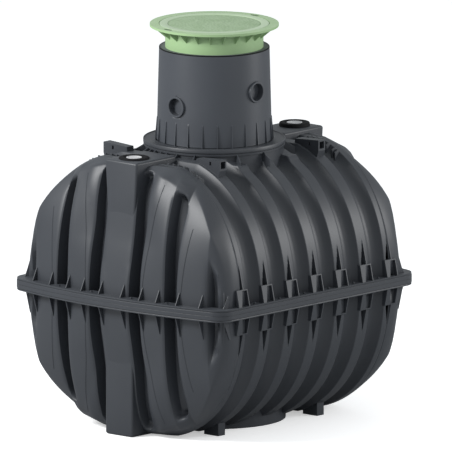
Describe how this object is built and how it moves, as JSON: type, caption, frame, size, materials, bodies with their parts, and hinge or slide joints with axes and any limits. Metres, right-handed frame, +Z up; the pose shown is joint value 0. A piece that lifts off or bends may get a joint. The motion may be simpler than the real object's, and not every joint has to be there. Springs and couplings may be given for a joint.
{
  "type": "underground septic tank",
  "caption": "Ribbed two-shell underground septic tank with bolted mid flange, top pipe sockets, neck, swivelling dome, telescopic access shaft and lift-off lid.",
  "frame": {"origin": "on the floor, under the middle of the tank", "axes": "+Z up, +X along the barrel from the inlet end to the outlet end"},
  "size_m": [2.272, 1.99, 2.797],
  "materials": {
    "tank_plastic": "satin moulded polypropylene, anthracite",
    "dome_plastic": "smooth moulded polyethylene, anthracite",
    "cover_plastic": "matte moulded polyethylene, sage green",
    "lid_plastic": "textured moulded polyethylene, sage green",
    "seal_rubber": "black lip seal rubber",
    "cap_plastic": "pale blanking cap"
  },
  "bodies": {
    "tank": {"upper_barrel_shell": "tank_plastic", "lower_barrel_shell": "tank_plastic", "inlet_end_upper": "tank_plastic", "outlet_end_upper": "tank_plastic", "inlet_end_lower": "tank_plastic", "outlet_end_lower": "tank_plastic", "upper_flange": "tank_plastic", "lower_flange": "tank_plastic", "flange_seal": "seal_rubber", "end_gussets_upper": "tank_plastic", "end_gussets_lower": "tank_plastic", "side_gussets_upper": "tank_plastic", "side_gussets_lower": "tank_plastic", "hoop_feet": "tank_plastic", "base_ring": "tank_plastic", "neck_collar": "tank_plastic", "neck_seal": "seal_rubber", "lifting_lug_inlet_front": "tank_plastic", "lifting_lug_inlet_back": "tank_plastic", "lifting_lug_outlet_front": "tank_plastic", "lifting_lug_outlet_back": "tank_plastic", "inlet_seal_ring": "seal_rubber", "inlet_cap": "cap_plastic", "outlet_seal_ring": "seal_rubber", "outlet_cap": "cap_plastic"},
    "dome": {"tank_dome": "dome_plastic", "dome_fins": "dome_plastic", "dome_port_inlet": "dome_plastic", "dome_port_front": "dome_plastic", "dome_port_outlet": "dome_plastic", "shaft_seal": "seal_rubber"},
    "shaft": {"telescopic_shaft": "cover_plastic", "shaft_gussets": "cover_plastic"},
    "lid": {"lid": "lid_plastic"}
  },
  "joints": [
    {"name": "dome_turn", "type": "hinge", "parent": "tank", "child": "dome", "pos_m": [0, 0, 1.978], "axis": [0, 0, 1], "continuous": true},
    {"name": "telescope_slide", "type": "slide", "parent": "dome", "child": "shaft", "axis": [0, 0, 1], "range_m": [-0.05, 0.2]},
    {"name": "lid_lift", "type": "slide", "parent": "shaft", "child": "lid", "axis": [0, 0, 1], "range_m": [0, 0.4]}
  ]
}
